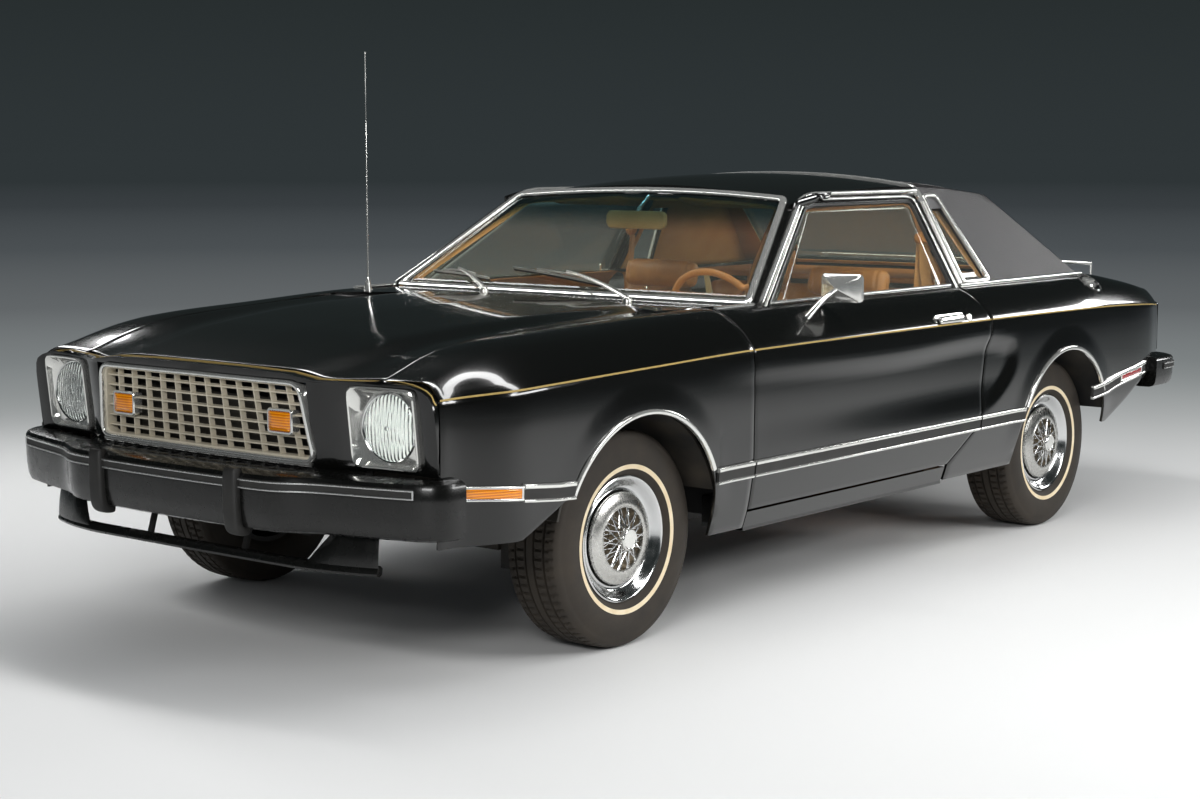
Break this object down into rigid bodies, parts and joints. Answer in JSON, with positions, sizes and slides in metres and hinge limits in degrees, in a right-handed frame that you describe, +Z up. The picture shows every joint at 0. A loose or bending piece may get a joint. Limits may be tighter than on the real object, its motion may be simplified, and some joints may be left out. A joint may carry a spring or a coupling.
{
  "type": "compact coupe",
  "caption": "Compact two-door notchback coupe with steered and spinning wheels, opening doors, hood and deck lid, full cabin and vinyl half roof.",
  "frame": {"origin": "on the ground, at mid-length, on the centreline", "axes": "+X to the driver's side (car's left), +Y to the rear, +Z up; the front faces -Y"},
  "size_m": [1.822, 4.445, 1.6679],
  "materials": {
    "amber_lens": "satin",
    "body_paint": "gloss",
    "cast_dark": "satin",
    "chrome": "gloss",
    "engine_paint": "satin",
    "exhaust_steel": "satin",
    "grille_silver": "satin",
    "guard_rubber": "satin",
    "lamp_glass": "satin",
    "red_lens": "satin",
    "tan_trim": "satin",
    "tan_vinyl": "satin",
    "tyre_rubber": "satin",
    "under_black": "satin",
    "vinyl_roof": "satin",
    "wheel_steel": "satin",
    "window_glass": "satin"
  },
  "bodies": {
    "root": {"floor_pan": "under_black", "frame_rails": "under_black", "rockers": "body_paint", "inner_front": "under_black", "inner_rear": "under_black", "fenders": "body_paint", "nose_panel": "body_paint", "grille": "grille_silver", "headlamps": "lamp_glass", "amber_lamps": "amber_lens", "front_bumper": "body_paint", "bumper_guards": "guard_rubber", "front_valance": "under_black", "cowl_panel": "body_paint", "fixed_glass": "window_glass", "roof_panel": "body_paint", "half_roof": "vinyl_roof", "quarters": "body_paint", "tail_panel": "body_paint", "tail_lamps": "red_lens", "rear_bumper": "body_paint", "dashboard": "tan_trim", "console": "tan_trim", "front_seats": "tan_vinyl", "rear_seat": "tan_vinyl", "inner_mirror": "guard_rubber", "engine_block": "engine_paint", "radiator": "cast_dark", "drive_line": "cast_dark", "exhaust": "exhaust_steel", "fuel_tank": "under_black", "front_arms": "cast_dark", "rear_axle": "cast_dark", "antenna": "chrome", "wipers": "chrome"},
    "door_left": {"door_left": "body_paint", "door_glass_left": "window_glass"},
    "door_right": {"door_right": "body_paint", "door_glass_right": "window_glass"},
    "hood": {"hood": "body_paint"},
    "deck_lid": {"deck_lid": "body_paint", "luggage_rack": "chrome"},
    "steering_wheel": {"steering_wheel": "tan_trim"},
    "knuckle_left": {"knuckle_left": "cast_dark"},
    "knuckle_right": {"knuckle_right": "cast_dark"},
    "wheel_fl": {"wheel_fl": "wheel_steel", "tyre_fl": "tyre_rubber"},
    "wheel_fr": {"wheel_fr": "wheel_steel", "tyre_fr": "tyre_rubber"},
    "wheel_rl": {"wheel_rl": "wheel_steel", "tyre_rl": "tyre_rubber"},
    "wheel_rr": {"wheel_rr": "wheel_steel", "tyre_rr": "tyre_rubber"}
  },
  "joints": [
    {"name": "spin_fl", "type": "hinge", "parent": "knuckle_left", "child": "wheel_fl", "pos_m": [0.708, -1.2625, 0.301], "axis": [1, 0, 0], "continuous": true},
    {"name": "spin_fr", "type": "hinge", "parent": "knuckle_right", "child": "wheel_fr", "pos_m": [-0.708, -1.2625, 0.301], "axis": [1, 0, 0], "continuous": true},
    {"name": "spin_rl", "type": "hinge", "parent": "root", "child": "wheel_rl", "pos_m": [0.708, 1.1805, 0.301], "axis": [1, 0, 0], "continuous": true},
    {"name": "spin_rr", "type": "hinge", "parent": "root", "child": "wheel_rr", "pos_m": [-0.708, 1.1805, 0.301], "axis": [1, 0, 0], "continuous": true},
    {"name": "steer_left", "type": "hinge", "parent": "root", "child": "knuckle_left", "pos_m": [0.665, -1.2625, 0.301], "axis": [0, 0, 1], "range_deg": [-32, 32]},
    {"name": "steer_right", "type": "hinge", "parent": "root", "child": "knuckle_right", "pos_m": [-0.665, -1.2625, 0.301], "axis": [0, 0, 1], "range_deg": [-32, 32]},
    {"name": "steering_wheel_turn", "type": "hinge", "parent": "root", "child": "steering_wheel", "pos_m": [0.35, -0.2165, 0.805], "axis": [0, -0.9063, -0.4226], "range_deg": [-640, 640]},
    {"name": "door_left_swing", "type": "hinge", "parent": "root", "child": "door_left", "pos_m": [0.88, -0.7695, 0.6], "axis": [0, 0, -1], "range_deg": [0, 66]},
    {"name": "door_right_swing", "type": "hinge", "parent": "root", "child": "door_right", "pos_m": [-0.88, -0.7695, 0.6], "axis": [0, 0, 1], "range_deg": [0, 66]},
    {"name": "hood_swing", "type": "hinge", "parent": "root", "child": "hood", "pos_m": [0, -0.8, 0.895], "axis": [-1, 0, 0], "range_deg": [0, 52]},
    {"name": "deck_swing", "type": "hinge", "parent": "root", "child": "deck_lid", "pos_m": [0, 1.5725, 0.903], "axis": [1, 0, 0], "range_deg": [0, 70]}
  ],
  "couplings": [
    {"joint": "steer_right", "follows": "steer_left", "ratio": 1},
    {"joint": "steering_wheel_turn", "follows": "steer_left", "ratio": -20}
  ]
}
